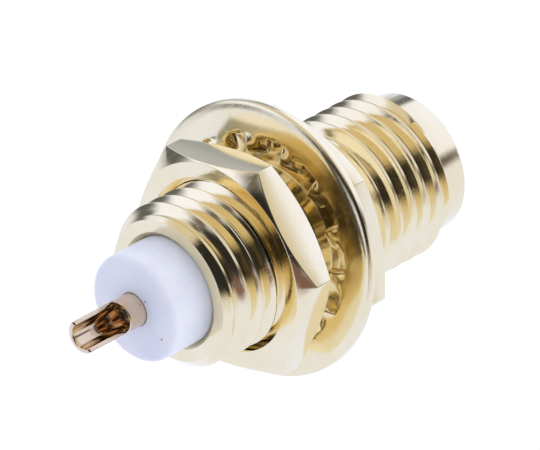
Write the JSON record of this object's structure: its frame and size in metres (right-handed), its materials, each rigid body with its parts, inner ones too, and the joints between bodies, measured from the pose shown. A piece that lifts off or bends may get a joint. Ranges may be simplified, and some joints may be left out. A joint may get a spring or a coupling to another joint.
{
  "type": "coaxial bulkhead jack",
  "caption": "Gold-plated coaxial bulkhead jack with a threaded mating end, hex flange, solder cup, hex nut and leaning toothed lock washer.",
  "frame": {"origin": "centre of the mating mouth's end face, on which the part stands", "axes": "+Z runs along the connector's axis from the mating mouth to the solder cup; +X is the side to which the solder cup is open and points at one corner of the hex flange; +Y completes a right-handed frame"},
  "size_m": [0.0104, 0.0104, 0.0172],
  "materials": {
    "shell_gold": "polished",
    "insulator": "satin",
    "contact_gold": "polished",
    "nut_gold": "polished",
    "washer_gold": "polished"
  },
  "bodies": {
    "shell": {"shell": "shell_gold", "insulator": "insulator", "contact": "contact_gold"},
    "washer": {"lock_washer": "washer_gold"},
    "nut": {"nut": "nut_gold"}
  },
  "joints": [
    {"name": "washer_slide", "type": "slide", "parent": "shell", "child": "washer", "axis": [0, 0, 1], "range_m": [0, 0.00353]},
    {"name": "nut_turn", "type": "hinge", "parent": "washer", "child": "nut", "pos_m": [0, 0, 0], "axis": [0, 0, 1], "range_deg": [0, 1800]}
  ],
  "couplings": [
    {"joint": "nut_turn", "follows": "washer_slide", "rad_per_m": 8905.3}
  ]
}
